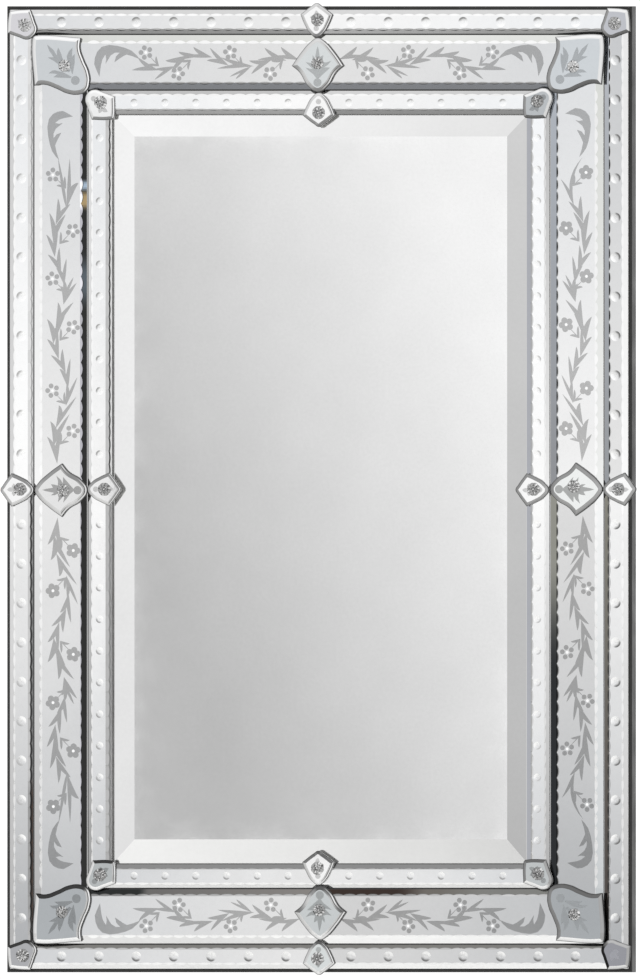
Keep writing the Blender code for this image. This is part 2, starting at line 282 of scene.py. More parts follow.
class Glass:
    """A closed mesh under way, in a side's own axes: along, up out of the wall, and outwards."""

    def __init__(self, turns=0):
        self.bm = bmesh.new()
        # Each face corner's colour: mostly painted reflections and shade
        self.layer = self.bm.loops.layers.float_color.new("colour_with_painted_light")
        self.turn = Matrix.Translation(MIDDLE) @ Matrix.Rotation(turns * math.pi / 2, 4, "Y")

    def vert(self, along, depth, outwards):
        return self.bm.verts.new((along, -depth, outwards))

    def face(self, verts, tones, material=SILVER, smooth=False):
        """One face. tones is one tone for all of it, or a list with one for each corner."""
        kept = [vert for index, vert in enumerate(verts) if vert is not verts[index - 1]]
        if len(kept) < 3:
            return
        face = self.bm.faces.new(kept)
        face.material_index = material
        face.smooth = smooth
        several = isinstance(tones, list)
        for index, loop in enumerate(face.loops):
            loop[self.layer] = colour_with_painted_light(tones[index] if several else tones)

    def fan(self, ring, tip, tone_of, material, smooth=False):
        """Triangles from a closed row of corners to the tip. tone_of may go by a corner's place."""
        for index, vert in enumerate(ring):
            corners = [ring[index - 1], vert, tip]
            tones = [tone_for(tone_of, corner.co) for corner in corners]
            self.face(corners, tones, material, smooth)

    def band(self, first, second, tone_of, material=SILVER, closed=False):
        """Quads between two rows of corners. tone_of may go by the quad's number in the row."""
        for index in range(0 if closed else 1, len(first)):
            corners = [first[index - 1], first[index], second[index], second[index - 1]]
            self.face(corners, tone_for(tone_of, index), material)

    def piece(self, name, nodes, slot):
        """End the mesh and hand it to the frame in place of the nodes."""
        bmesh.ops.remove_doubles(self.bm, verts=self.bm.verts, dist=TOUCHING)
        bmesh.ops.recalc_face_normals(self.bm, faces=self.bm.faces)
        for edge in self.bm.edges:
            if len({face.smooth for face in edge.link_faces}) > 1:
                edge.smooth = False
        self.bm.transform(self.turn)
        made = placed(name, self.bm)
        for material in GLASS_MATERIALS:
            made.data.materials.append(material)
        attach(made, "root")
        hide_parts(*nodes)


def turns_left(outline):
    """Whether a closed outline runs anticlockwise."""
    following = outline[1:] + outline[:1]
    return sum(a[0] * b[1] - b[0] * a[1] for a, b in zip(outline, following)) > 0


def fill_flat(glass, depth, outer, holes, marks, tone_at, mark_tone_at):
    """Fill a flat inside the outer loop, round the holes. marks are flush shapes, with kinds."""
    corners = [vert for loop in [outer] + holes for vert in loop]
    places = []
    loops = []
    outlines = [[(vert.co.x, vert.co.z) for vert in loop] for loop in [outer] + holes]
    for outline in outlines + [outline for outline, _ in marks]:
        loop = list(range(len(places), len(places) + len(outline)))
        places += [Vector(point) for point in outline]
        loops.append(loop if turns_left(outline) else loop[::-1])
    # Mode 1 keeps the triangles inside the loops, True gives back what each corner came from
    found, _, triangles, same, _, inside = delaunay_2d_cdt(places, [], loops, 1, 1e-7, True)
    verts = []
    for place, originals in zip(found, same):
        known = [corners[index] for index in originals if index < len(corners)]
        verts.append(known[0] if known else glass.vert(place.x, depth, place.y))
    for triangle, owners in zip(triangles, inside):
        owners = set(owners)
        if 0 not in owners or owners & set(range(1, len(holes) + 1)):
            continue
        kinds = {marks[owner - len(holes) - 1][1] for owner in owners if owner > len(holes)}
        chosen = [verts[index] for index in triangle]
        if "bright" in kinds:
            glass.face(chosen, WHITE)
        elif "etched" in kinds:
            glass.face(chosen, [tone_for(mark_tone_at, vert.co) for vert in chosen], ETCH)
        else:
            glass.face(chosen, [tone_for(tone_at, vert.co) for vert in chosen])


# --- etched shapes
BLADE_STEPS = 7
FORK_STEPS = 6
# How far the sides of a fork's leaves bow, and how full the leaves are, in millimetres
FORK_BOW = 3.5
FORK_FULLNESS = 3.2


def circle(centre, radius, sides=14, start=0.0):
    x, y = centre
    turns = (start + 2 * math.pi * index / sides for index in range(sides))
    return [(x + radius * math.cos(turn), y + radius * math.sin(turn)) for turn in turns]


def blade(base, tip, width, bend=0.0, belly=0.8):
    """A pointed leaf, bent by a share of its length. A larger belly widens it nearer the tip."""
    base, tip = Vector(base), Vector(tip)
    run = tip - base
    aside = Vector((-run.y, run.x))
    left, right = [], []
    for index in range(1, BLADE_STEPS):
        share = index / BLADE_STEPS
        spine = base + run * share + aside * bend * 4.0 * share * (1.0 - share)
        half = width / 2 * (math.sin(math.pi * share**belly) ** 0.8) * (1.0 - 0.25 * share)
        half = aside.normalized() * half
        left.append(spine + half)
        right.append(spine - half)
    return [tuple(point) for point in [base] + left + [tip] + right[::-1]]


def curve_between(start, pull, end):
    """Places along a bent line from start to end, leaving out both ends."""
    places = []
    for index in range(1, FORK_STEPS):
        share = index / FORK_STEPS
        places.append(start * (1 - share) ** 2 + pull * 2 * share * (1 - share) + end * share**2)
    return places


def fork(base, first, second, crotch=0.58):
    """Two pointed leaves grown together: a long thin base that widens and parts into two tips."""
    base, tips = Vector(base), [Vector(first), Vector(second)]
    axis = (tips[0] + tips[1]) / 2 - base
    along = axis.normalized()
    aside = Vector((-along.y, along.x))
    if aside.dot(tips[0] - tips[1]) < 0:
        tips.reverse()
    notch = base + axis * crotch
    outline = [base]
    for tip, sign in zip(tips, (1.0, -1.0)):
        lean = (tip - base).dot(aside)
        pull = base + axis * 0.60 + aside * (lean * 0.28 + sign * FORK_BOW)
        outer = curve_between(base, pull, tip)
        inner = curve_between(tip, (tip + notch) / 2 + along * FORK_FULLNESS, notch)
        side = outer + [tip] + inner
        outline += side + [notch] if sign > 0 else side[::-1]
    return [tuple(point) for point in outline]


# --- the vine
# Millimetres: along from the middle of a side towards the corner, and across, outwards from the
# panel's middle line. Each unit is a base and its two leaf tips.
UPRIGHT_UNITS = (
    ((329, 9), (355, -10), (362, 6)), ((307, 12), (342, -4), (344, 17)),
    ((289, 10), (321, 6), (317, 21)), ((268, 2), (301, 4), (292, 19)),
    ((254, -2), (287, -5), (275, 8)), ((237, -2), (264, -14), (259, -2)),
    ((230, -1), (257, -18), (253, 2)), ((201, 9), (233, -14), (233, 6)),
    ((181, 12), (216, -3), (212, 20)), ((162, 5), (197, 6), (187, 20)),
    ((145, -4), (175, 0), (167, 15)), ((126, -7), (163, -10), (150, 4)),
    ((104, -4), (140, -19), (131, -5)), ((76, 9), (116, -18), (105, 5)),
    ((53, 12), (94, -9), (85, 16)), ((32, 7), (76, 2), (66, 20)),
)
LEVEL_UNITS = (
    ((205, -9), (239, -9), (231, 7)), ((184, -4), (210, -21), (208, -7)),
    ((169, 7), (188, -12), (196, 3)), ((150, 9), (196, 3), (179, 14)),
    ((136, 7), (172, 8), (160, 20)), ((115, -3), (143, 3), (139, 19)),
    ((86, -4), (106, -20), (114, -17)), ((83, -4), (130, -7), (125, 7)),
    ((61, 3), (86, -14), (89, 3)), ((41, 3), (78, 4), (69, 19)),
    ((25, 4), (60, 8), (48, 20)),
)
UPRIGHT_CLUSTERS = ((391, 12.5), (322, -13), (262, 13), (202, -13), (123, 13), (73, -13))
LEVEL_CLUSTERS = ((221, 13), (180, -13), (113, 13), (62, -13))
# Where the tip of a side's scroll is, along and across, and its size against the outline below
SCROLLS = {
    "top": (281, -1.5, 0.96, 1.20), "right": (466, 0.0, 1.0, 1.0),
    "bottom": (281, 0.0, 0.96, 1.18), "left": (463, -3.0, 1.0, 1.0),
}
# The etching was done by hand: how far each half's vine and its scroll are off, along and
# outwards, in the order of SIDES
VINE_SHIFTS = {
    "top": (((0, -0.6), (-0.6, -0.6)), ((1.3, 0), (0.6, 0))),
    "right": (((2.5, 0), (0.6, -1.3)), ((0.6, 1.3), (-1.9, 1.3))),
    "bottom": (((1.9, -0.6), (2.6, -1.2)), ((-0.9, -0.6), (-1.3, -0.6))),
    "left": (((3.1, -3.2), (1.9, -0.6)), ((-0.6, -2.6), (0, 0))),
}
# The scroll leaf's outline from the tip of its outer lobe, relative to that tip
SCROLL = (
    (0, -13), (4, -6), (7, 0), (6, 7), (3, 13), (-3, 18), (-13, 20), (-24, 19), (-34, 17),
    (-43, 14), (-50, 9), (-54, 5), (-45, 8), (-36, 10), (-31, 8), (-20, 2), (-22, 8), (-27, 12),
    (-21, 12), (-15, 9), (-8, 0), (-9, 5), (-8, 10), (-4, 5), (-2, -1), (-1, -7),
)
# The leaves from the vine's last fork into the scroll: base, tip, and bend or second tip
SCROLL_LEAVES = {
    "left": (((349, -5), (413, 6), 0.0), ((349, -5), (381, -20.5), (412, -9))),
    "right": (((349, -3), (410, 8), -0.14), ((352, -4), (383, -20), 0.05)),
}
BLADE_WIDTH = 4.6
STALK_WIDTH = 1.3
# The ring that a cluster's five berries or petals sit on, and the radius of each
BERRIES = (6.2, 3.1)
PETALS = (5.5, 4.0)
CLUSTER_HEART = 1.9
# From a cluster's middle back to the foot and the head of its stalk and to its bracts' tips
STALK_FOOT, STALK_HEAD = 17.0, 3.0
BRACT_TIPS = ((1.5, 15.5), (13.5, 4.5))
MERGED_FLOWERS = {("left", "lower"), ("right", "upper")}


def cluster(centre, merged, turn):
    """Five berries, or petals grown together, with a bright middle, a stalk and two bracts."""
    along, across = centre
    side = math.copysign(1.0, across)

    def back(reach, depth):
        return along - reach, across - side * depth

    ring, radius = PETALS if merged else BERRIES
    spots = circle(centre, ring, sides=5, start=turn)
    base = back(STALK_FOOT, STALK_FOOT)
    return [(circle(spot, radius), "etched") for spot in spots] + [
        (circle(centre, CLUSTER_HEART, sides=8), "bright"),
        (fork(base, *(back(*tip) for tip in BRACT_TIPS), crotch=0.42), "etched"),
        (blade(base, back(STALK_HEAD, STALK_HEAD), STALK_WIDTH), "etched"),
    ]


def leaf(base, tip, last):
    """A blade with its bend, or a fork when a second tip is given instead."""
    forked = isinstance(last, tuple)
    return fork(base, tip, last) if forked else blade(base, tip, BLADE_WIDTH, last)


def vine(side, half):
    """The etched vine of a half side, in millimetres along and across."""
    turns, *halves = SIDES[side]
    upright = turns % 2
    marks = [(fork(*unit), "etched") for unit in (UPRIGHT_UNITS if upright else LEVEL_UNITS)]
    marks += [(leaf(*unit), "etched") for unit in SCROLL_LEAVES.get(side, ())]
    merged = (side, half) in MERGED_FLOWERS
    for index, centre in enumerate(UPRIGHT_CLUSTERS if upright else LEVEL_CLUSTERS):
        marks += cluster(centre, merged, 0.7 * index)
    (slid, moved), (scroll_slid, scroll_moved) = VINE_SHIFTS[side][halves.index(half)]
    marks = [([(x + slid, y + moved) for x, y in outline], kind) for outline, kind in marks]
    tip, shift, length, breadth = SCROLLS[side]
    tip, shift = tip + scroll_slid, shift + scroll_moved
    scroll = [(tip + along * length, shift + across * breadth) for along, across in SCROLL]
    return marks + [(scroll, "etched")]


# --- tones of the cut faces: painted reflections and shade
# Each half side's flat, in the order of SIDES: the tone of its painted reflection at the side's
# middle and at the corner
FLAT_REFLECTIONS = {
    "outer_strip": {
        "top": ((236, 217), (245, 238)), "right": ((227, 198), (243, 173)),
        "bottom": ((214, 194), (228, 209)), "left": ((237, 173), (254, 228)),
    },
    "etched_panel": {
        "top": ((226, 216), (225, 218)), "right": ((241, 221), (221, 175)),
        "bottom": ((210, 193), (225, 210)), "left": ((232, 186), (234, 214)),
    },
    "inner_strip": {
        "top": ((250, 236), (243, 244)), "right": ((253, 248), (252, 206)),
        "bottom": ((233, 216), (231, 211)), "left": ((252, 198), (248, 232)),
    },
}
# The painted reflection's colour cast: what it adds to a flat's red, green and blue by the corner,
# and how late, as a power
CORNER_REFLECTION_CAST = (-2.0, 0.0, 2.5)
CORNER_LATENESS = 1.6
# The outer bevels' facets' painted reflections in the same way
OUTER_BEVEL_REFLECTIONS = {
    "outer_strip": {
        "top": ((215, 217), (217, 215)), "right": ((250, 230), (246, 188)),
        "bottom": ((262, 262), (246, 246)), "left": ((230, 178), (213, 209)),
    },
    "etched_panel": {
        "top": (((225, 226, 222), (216, 217, 214)), ((228, 229, 226), (227, 228, 225))),
        "right": (((238, 239, 238), (214, 216, 212)), ((248, 249, 249), (196, 200, 202))),
        "bottom": ((258, 258), (238, 236)), "left": ((238, 176), (248, 229)),
    },
    "inner_strip": {
        "top": ((198, 192), (213, 205)), "right": ((237, 188), (239, 178)),
        "bottom": ((236, 238), (234, 236)), "left": ((202, 160), (220, 222)),
    },
}
# The outer bevels' scallops whose painted reflection isn't white, and how far they fade where the
# facet darkens
SCALLOP_REFLECTIONS = {
    "outer_strip_left": 252, "etched_panel_right": 253, "inner_strip_top": 250,
    "inner_strip_right": 248, "inner_strip_left": 252,
}
SCALLOP_FADE = 0.6
# The inner bevels' painted reflections: the facet's tone at the middle and at the corner, the
# scallops' on the side of the bevel and of the flat, and the arris's along the foot. A half side
# may have its own, here and in the tables that follow.
INNER_BEVEL_REFLECTIONS = {
    "outer_strip": {
        "left_top": ((150, 136), 98, 192, 96), "right_top": ((172, 142), 112, 198, 96),
        "upper_right": (((150, 153, 157), (184, 188, 194)), 34, 198, 150),
        "lower_right": (((136, 135, 127), (70, 64, 62)), 30, 196, 150),
        "bottom": (((128, 127, 124),) * 2, 160, 202, 84),
        "lower_left": ((150, 96), 58, 206, 100), "upper_left": ((210, 208), 150, 220, 150),
    },
    "etched_panel": {
        "top": (((124, 126, 130),) * 2, 86, 168, 78),
        "upper_right": (((144, 146, 150), (182, 188, 196)), 16, 200, 190),
        "lower_right": (((146, 146, 139),) * 2, 16, 200, 190),
        "right_bottom": (((112, 108, 103),) * 2, 128, 190, 78),
        "left_bottom": (((138, 134, 131), (92, 92, 92)), 138, 192, 78),
        "lower_left": ((50, 52), 40, (194, 193, 200), 200),
        "upper_left": ((52, 50), 46, (190, 189, 196), 200),
    },
    "inner_strip": {
        "left_top": ((158, 160), 138, 200, 120), "right_top": ((142, 142), 128, 192, 120),
        "right": (((172, 174, 180),) * 2, 168, 206, 206), "bottom": ((140, 140), 150, 200, 120),
        "lower_left": ((172, 156), 138, 186, 112), "upper_left": ((206, 200), 30, 196, 226),
    },
}
ARRIS_WIDTH = 0.0009
# The scallops of the inner bevels, in millimetres from the crease: how far they reach onto the
# flat, where their two halves meet, down the bevel, how far they reach down it, and the least
# share of that between two scallops
INNER_CUTS = {
    "outer_strip": {
        "top": (1.3, 0.9, 2.4, 0.08), "bottom": (0.6, 1.7, 2.7, 0.40),
        "upper_right": (3.4, -2.0, -0.1, 0.12), "lower_right": (2.6, -0.2, 1.7, 0.30),
        "lower_left": (0.4, 2.6, 5.2, 0.74), "upper_left": (0.4, 3.9, 5.2, 0.74),
    },
    "etched_panel": {
        "top": (1.3, 0.9, 2.4, 0.08), "right": (3.4, -1.7, 0.3, 0.12),
        "bottom": (0.6, 1.9, 2.9, 0.40),
        "lower_left": (0.4, 1.3, 2.2, 0.25), "upper_left": (0.4, 2.9, 4.0, 0.25),
    },
    "inner_strip": {
        "top": (0.8, 0.7, 1.9, 0.25), "right": (3.2, -1.3, 0.6, 0.40),
        "bottom": (0.8, 0.8, 1.9, 0.25), "left": (0.4, 4.0, 5.7, 0.80),
    },
}
# The scallops of the outer bevels in the same way
OUTER_CUTS = {
    "outer_strip": (1.3, 0.0, 1.8, 0.10),
    "etched_panel": (1.0, 0.9, 3.4, 0.10),
    "inner_strip": (1.2, 0.0, 1.8, 0.10),
}
# The dim room's reflection painted on an inner bevel, as shares of the half side from its middle:
# where it starts and ends, how softly, and its tone
ROOM_PATCHES = {
    "outer_strip_left_lower": ((0.62, 0.90, 0.03, (74, 62, 56)),),
    "etched_panel_right_lower": ((0.28, 1.2, 0.13, (48, 50, 52)),),
    "etched_panel_left_upper": (
        (0.42, 0.50, 0.03, (92, 100, 108)),
        (0.622, 0.655, 0.010, (172, 150, 112)),
        (0.662, 0.680, 0.007, (166, 184, 202)),
    ),
    "etched_panel_bottom_left": ((0.62, 1.2, 0.02, (48, 50, 50)),),
    "etched_panel_bottom_right": (
        (-0.2, 0.33, 0.06, (62, 52, 48)), (0.50, 1.2, 0.10, (130, 130, 127)),
    ),
}
# How strongly the scallops' painted reflection darkens with the bevel beside them, as a power
PATCH_ON_CUTS = 0.3
# How much the scallops' tones differ: the outer bevels', and the inner bevels' towards the flat
# and, as a share, towards the bevel
OUTER_UNEVEN, LENS_UNEVEN, DASH_UNEVEN = 6.0, 7.0, 0.12
# The etched marks' tone as a share of the flat's
ETCHED_SHARE = 0.785
# The ground edges' own tone on most pieces, and the painted light on the edges of the strips that
# show a lit edge and of the inner plates
EDGE_TONE = 92
PAINTED_LIT_EDGES = {
    "outer_strip_left": 120, "inner_strip_left": 255, "outer_strip_right": 255,
    "etched_panel_right": 255, "inner_strip_right": 255,
}
INNER_COVER_LIT_EDGE = 225


def of_half(table, side, half):
    """The half side's own entry, or else its side's."""
    return table.get(f"{half}_{side}", table.get(side))


def widened(width, least):
    """A scallop's width there, where it never narrows below the least."""
    return least + (1.0 - least) * width


def patched(tone, patches, share):
    """The tone with the room's patches over it, at a share of the half side."""
    for start, end, soft, colour in patches:
        begun = smoothstep(start - soft, start + soft, share)
        ended = smoothstep(end - soft, end + soft, share)
        tone = mixed(tone, colour, begun * (1.0 - ended))
    return three(tone)


# --- strips and panels of the rings
def scallop_columns(start, end, draw):
    """Places along a half side, each with the scalloped cut's width there and its number."""
    count = max(1, round((end - start) / SCALLOP_LENGTH))
    lengths = [1.0 + draw.uniform(-SCALLOP_SPREAD, SCALLOP_SPREAD) for _ in range(count)]
    scale = (end - start) / sum(lengths)
    columns = [(start, 0.0, 0)]
    reached = start
    for index, length in enumerate(lengths):
        most = draw.uniform(SCALLOP_NARROWEST, 1.0)
        for step in range(1, SCALLOP_STEPS + 1):
            share = step / SCALLOP_STEPS
            width = most * max(math.sin(math.pi * share), 0.0) ** 0.8
            columns.append((reached + length * scale * share, width, index))
        reached += length * scale
    return columns


def ball_cut(glass, centre, radius, depth, away, flat, darkest):
    """A shallow ground hollow, shaded on the side away and bright opposite. Returns its rim."""

    def tone_of(place):
        offset = Vector((place.x - centre[0], place.z - centre[1]))
        share = offset.length / radius
        facing = offset.normalized().dot(away) if share > 0 else 0.0
        shade = smoothstep(0.15, 0.95, facing) * smoothstep(0.35, 0.80, share)
        glint = smoothstep(-0.1, 0.9, -facing) * smoothstep(0.10, 0.70, share)
        brighter = max(glint, 0.35 * (1.0 - share)) * (1.0 - shade)
        return mixed(mixed(flat, darkest, shade), WHITE, brighter)

    def ring(share):
        sunk = STRIP_FRONT - depth * (1.0 - share**2)
        return [glass.vert(x, sunk, z) for x, z in circle(centre, radius * share, BALL_SIDES)]

    rim = outer = ring(1.0)
    for share in BALL_RINGS:
        inner = ring(share)
        for index in range(BALL_SIDES):
            corners = [outer[index - 1], outer[index], inner[index], inner[index - 1]]
            glass.face(corners, [tone_of(corner.co) for corner in corners], BALL, smooth=True)
        outer = inner
    bottom = glass.vert(centre[0], STRIP_FRONT - depth, centre[1])
    glass.fan(outer, bottom, tone_of, BALL, smooth=True)
    return rim


def ring_strip(ring, side, half, direction, draw):
    """One half-length strip or panel, with its scalloped edges, ball cuts or vine."""
    turns, *halves = SIDES[side]
    node = f"{ring}_{side}_{half}"
    glass = Glass(turns)
    low, high = (glass.turn.inverted() @ Vector(corner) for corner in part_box(node))
    start = min(abs(low.x), abs(high.x))
    tip = max(abs(low.x), abs(high.x))
    inner, outer = sorted((low.z, high.z))
    outer_bevel, inner_bevel = BEVELS[ring]
    end = tip - (outer - inner)
    columns = scallop_columns(start, end, draw) + [(None, 0.0, -1)]
    shoulder = STRIP_FRONT - BEVEL_FALL

    def row(outwards_at, depth_at):
        """A row of corners. Where each lies goes by the scalloped cut's width there."""
        verts = []
        for along, width, _ in columns:
            outwards = outwards_at(width)
            reach = tip - (outer - outwards) if along is None else along
            verts.append(glass.vert(direction * reach, depth_at(width), outwards))
        return verts

    def straight(outwards, depth):
        return row(lambda width: outwards, lambda width: depth)

    def cut_rows(crease, downhill, bevel, cuts):
        """Rows of a scalloped crease, from the flat to the bevel. downhill is the way down."""
        *reaches, least = cuts

        def cut_row(reach, cut):
            fall = BEVEL_FALL / bevel * max(reach, 0.0)
            return row(
                lambda width: crease + downhill * reach * widened(width, least),
                lambda width: STRIP_FRONT - fall * widened(width, least) - cut * width,
            )

        on_flat, meeting, on_bevel = (MM * reach for reach in reaches)
        return [cut_row(-on_flat, 0.0), cut_row(meeting, SCALLOP_DEPTH), cut_row(on_bevel, 0.0)]

    outer_cut = cut_rows(outer - outer_bevel, 1.0, outer_bevel, OUTER_CUTS[ring])
    inner_cuts = of_half(INNER_CUTS[ring], side, half)
    inner_cut = cut_rows(inner + inner_bevel, -1.0, inner_bevel, inner_cuts)
    arris_rise = BEVEL_FALL * ARRIS_WIDTH / inner_bevel
    rows = [straight(outer, shoulder)] + outer_cut[::-1] + inner_cut
    rows += [
        straight(inner + ARRIS_WIDTH, shoulder + arris_rise),
        straight(inner, shoulder),
        straight(inner, STRIP_BACK),
        straight(outer, STRIP_BACK),
    ]

    place = halves.index(half)
    # The tones of the flat, the bevels and their scallops are painted reflections
    flat_middle, flat_corner = FLAT_REFLECTIONS[ring][side][place]
    outer_middle, outer_corner = OUTER_BEVEL_REFLECTIONS[ring][side][place]
    (inner_middle, inner_corner), dash, lens, arris_reflection = of_half(INNER_BEVEL_REFLECTIONS[ring], side, half)
    patches = ROOM_PATCHES.get(node, ())
    lightest = SCALLOP_REFLECTIONS.get(f"{ring}_{side}", WHITE)
    # The ground edge's own tone, or painted light where the strip shows a lit edge
    edge = PAINTED_LIT_EDGES.get(f"{ring}_{side}", EDGE_TONE)
    jitters = [draw.uniform(-1.0, 1.0) for _ in range(columns[-2][2] + 1)] + [0.0]

    def jitter(index):
        return jitters[columns[index][2]]

    def share_along(index):
        along = columns[index][0]
        return (tip if along is None else along) / tip

    def outer_tone(index):
        return mixed(outer_middle, outer_corner, share_along(index))

    def facet_tone(index):
        share = share_along(index)
        return patched(mixed(inner_middle, inner_corner, share), patches, share)

    def beside_facet(tone, index):
        kept = (facet_tone(index)[1] / three(inner_middle)[1]) ** PATCH_ON_CUTS
        return tuple(kept * value for value in three(tone))

    def dash_tone(index):
        width = widened((columns[index][1] + columns[index - 1][1]) / 2, inner_cuts[3])
        most = 1.0 - DASH_UNEVEN + DASH_UNEVEN * jitter(index)
        darker = smoothstep(0.30, 0.65, width) * most
        return mixed(facet_tone(index), beside_facet(dash, index), darker)

    def lens_tone(index):
        return beside_facet(shifted(lens, LENS_UNEVEN * jitter(index)), index)

    def scallop_tone(index):
        faded = max(three(outer_middle)[1] - outer_tone(index)[1], 0.0) * SCALLOP_FADE
        return shifted(lightest, -faded - OUTER_UNEVEN * abs(jitter(index)))

    # Between rows 3 and 4 lies the flat
    bands = (
        (0, outer_tone, SILVER), (1, scallop_tone, SILVER), (2, scallop_tone, SILVER),
        (4, lens_tone, SILVER), (5, dash_tone, SILVER), (6, facet_tone, SILVER),
        (7, arris_reflection, SILVER), (8, edge, EDGE), (9, EDGE_TONE, BACK), (10, edge, EDGE),
    )
    for first, tone_of, material in bands:
        glass.band(rows[first], rows[(first + 1) % len(rows)], tone_of, material)
    for end_index in (0, -1):
        glass.face([verts[end_index] for verts in rows], EDGE_TONE, EDGE)

    def flat_tone(place):
        share = (abs(place.x) / tip) ** CORNER_LATENESS
        tone = mixed(flat_middle, flat_corner, share)
        return shifted(tone, [share * cast for cast in CORNER_REFLECTION_CAST])

    def etched_tone(place):
        return tuple(ETCHED_SHARE * value for value in flat_tone(place))

    holes, marks = [], []
    middle = (outer + inner) / 2
    if ring in BALL_CUTS:
        radius, depth, spacing = BALL_CUTS[ring]
        first, last, count = spacing[turns % 2]
        away = Vector(of_half(BALL_SHADE, side, half))
        darkest = BALL_SHADE_TONES[ring][side]
        for index in range(count):
            centre = Vector((direction * (first + (last - first) * index / (count - 1)), middle))
            flat = flat_tone(Vector((centre.x, -STRIP_FRONT, centre.y)))
            holes.append(ball_cut(glass, centre, radius, depth, away, flat, darkest))
    else:
        for outline, kind in vine(side, half):
            marks.append(([(direction * x * MM, middle + y * MM) for x, y in outline], kind))
    fill_flat(glass, STRIP_FRONT, rows[3] + rows[4][::-1], holes, marks, flat_tone, etched_tone)
    slot = "etched_mirror" if ring == "etched_panel" else "strip_mirror"
    glass.piece(f"glass_{node}", (node,), slot)


# --- the central plate
# The bevels' widths to the left, below, to the right and above
PLATE_BEVELS = (0.0345, 0.0368, 0.0318, 0.0335)
CREST_WIDTH = 0.0012
# A painted highlight along the crest
CREST_HIGHLIGHT = 270
# Painted reflections on each bevel, from the left one anticlockwise: at the edge, before and at
# its last corner, then at the crest, at and before it
CENTRE_BEVEL_REFLECTIONS = (
    [243, 226, 226, 243], [237, 213, 213, 237], [184, 210, 208, 184], [229, 249, 249, 229],
)


def centre_plate():
    glass = Glass()
    half = Vector(((PLATE_HIGH.x - PLATE_LOW.x) / 2, (PLATE_HIGH.z - PLATE_LOW.z) / 2))

    def loop(insets, depth):
        left, low, right, high = insets
        corners = (
            (left - half.x, low - half.y), (half.x - right, low - half.y),
            (half.x - right, half.y - high), (left - half.x, half.y - high),
        )
        return [glass.vert(x, depth, z) for x, z in corners]

    back = loop((0.0,) * 4, PLATE_BACK)
    edge = loop((0.0,) * 4, PLATE_FRONT - BEVEL_FALL)
    crest = loop(PLATE_BEVELS, PLATE_FRONT)
    within = loop([width + CREST_WIDTH for width in PLATE_BEVELS], PLATE_FRONT)
    glass.face(back, EDGE_TONE, BACK)
    glass.band(back, edge, EDGE_TONE, EDGE, closed=True)
    glass.band(edge, crest, lambda index: CENTRE_BEVEL_REFLECTIONS[index], closed=True)
    glass.band(crest, within, CREST_HIGHLIGHT, closed=True)
    glass.face(within, WHITE * WORLD_LIGHT)
    glass.piece("glass_centre_mirror", ("centre_mirror",), "plate_mirror")


# --- cover plates
SMOOTH, SHARP = "AUTO", "VECTOR"
OUTLINE_STEPS = 10
SPRIG_WIDTH = 6.4
SPRIG_BELLY = 1.1
# One kind of cover plate. half is half its outline in millimetres from the plate's outer end,
# smooth but for points that say SHARP. A corner plate's other half has across and up swapped, a
# middle plate's is its mirror image. sprig is in the same axes: outlines, or leaves from base to
# tip with a bend. The rest is in metres. starts are the outer end's places across and up on the
# wall, and away is 1 where the plate reaches outwards from there. stud is the rosette's place on
# the plate's middle line, dot the matt dot's place and radius. glints are the rosette's tone as a
# share of the plate's, and how many of its facets are bright and dark.
Plate = namedtuple("Plate", "half starts away bevel sprig stud dot radius glints")
LARGE_MIDDLE = Plate(
    half=((0, 0), (8, 3.8), (21, 17.6), (33.3, 34.8, SHARP), (23.6, 43), (12.8, 59.8), (0, 67.5)),
    starts=(0.3626, 0.5608), away=-1, bevel=0.0054,
    sprig=((
        (0, 52), (-5, 45.5), (-10.5, 41.5), (-15.5, 37), (-9.5, 38.4), (-6, 38.6), (-9.8, 35.2),
        (-15, 30.2), (-9, 31.3), (-4.5, 30), (-6.3, 26), (-6.2, 21.2), (-3.2, 25.5), (-2, 19),
        (-1.2, 15), (0.3, 10.2), (1.8, 15.5), (3, 24), (7.5, 21.5), (7, 26), (5.8, 30.2),
        (11, 30.6), (18, 28.4), (13, 34), (8.5, 36.6), (16.5, 37), (11, 42), (5.5, 46.8),
    ),),
    stud=0.0312, dot=(0.0555, 0.0052), radius=0.0078, glints=(0.84, 0.16, 0.08),
)
OUTER_MIDDLE = Plate(
    half=((0, 0), (6.2, 3.4), (20.7, 14.2, SHARP), (16, 25.5), (8.8, 37.2), (0, 42.5)),
    starts=(0.4056, 0.6040), away=-1, bevel=0.0042,
    sprig=(((0, 18), (0, 9), 0.06), ((0, 20), (-8, 17.5), 0.12), ((0, 20), (8, 17.5), -0.12)),
    stud=0.0208, dot=(0.0315, 0.0034), radius=0.0083, glints=(0.83, 0.10, 0.05),
)
INNER_MIDDLE = OUTER_MIDDLE._replace(starts=(0.2519, 0.4501), away=1)
LARGE_CORNER = Plate(
    half=(
        (1.8, 1.8), (8.5, 0), (62.5, 3, SHARP), (61.3, 16), (66.2, 31), (72.2, 45), (73.6, 59),
        (69.3, 69.3),
    ),
    starts=(0.3665, 0.5645), away=-1, bevel=0.0054,
    sprig=(
        (
            (47, 46), (37, 38), (28, 31.5), (20.4, 27.5), (28, 27), (22.5, 19), (19.6, 11.2),
            (28, 18), (32.4, 25.1), (32.2, 20), (34.1, 15), (37.5, 22), (40.5, 31), (50, 44),
        ),
        (
            (51.7, 47.6), (46, 32.9), (44.9, 25.9), (47.7, 19.7), (52.4, 15), (52, 20.5),
            (51.7, 26.2), (55.2, 23.1), (55.2, 33.7), (53.6, 43), (52.5, 48.4),
        ),
        (
            (51.7, 51.5), (40.4, 45.8), (30, 43.3), (26, 43.8), (21.5, 47.3), (27.6, 47.3),
            (33.2, 48.1), (27.6, 52), (37.2, 52.6), (50.1, 53.1),
        ),
    ),
    stud=0.0393, dot=(0.0560, 0.0056), radius=0.0078, glints=(1.02, 0.22, 0.10),
)
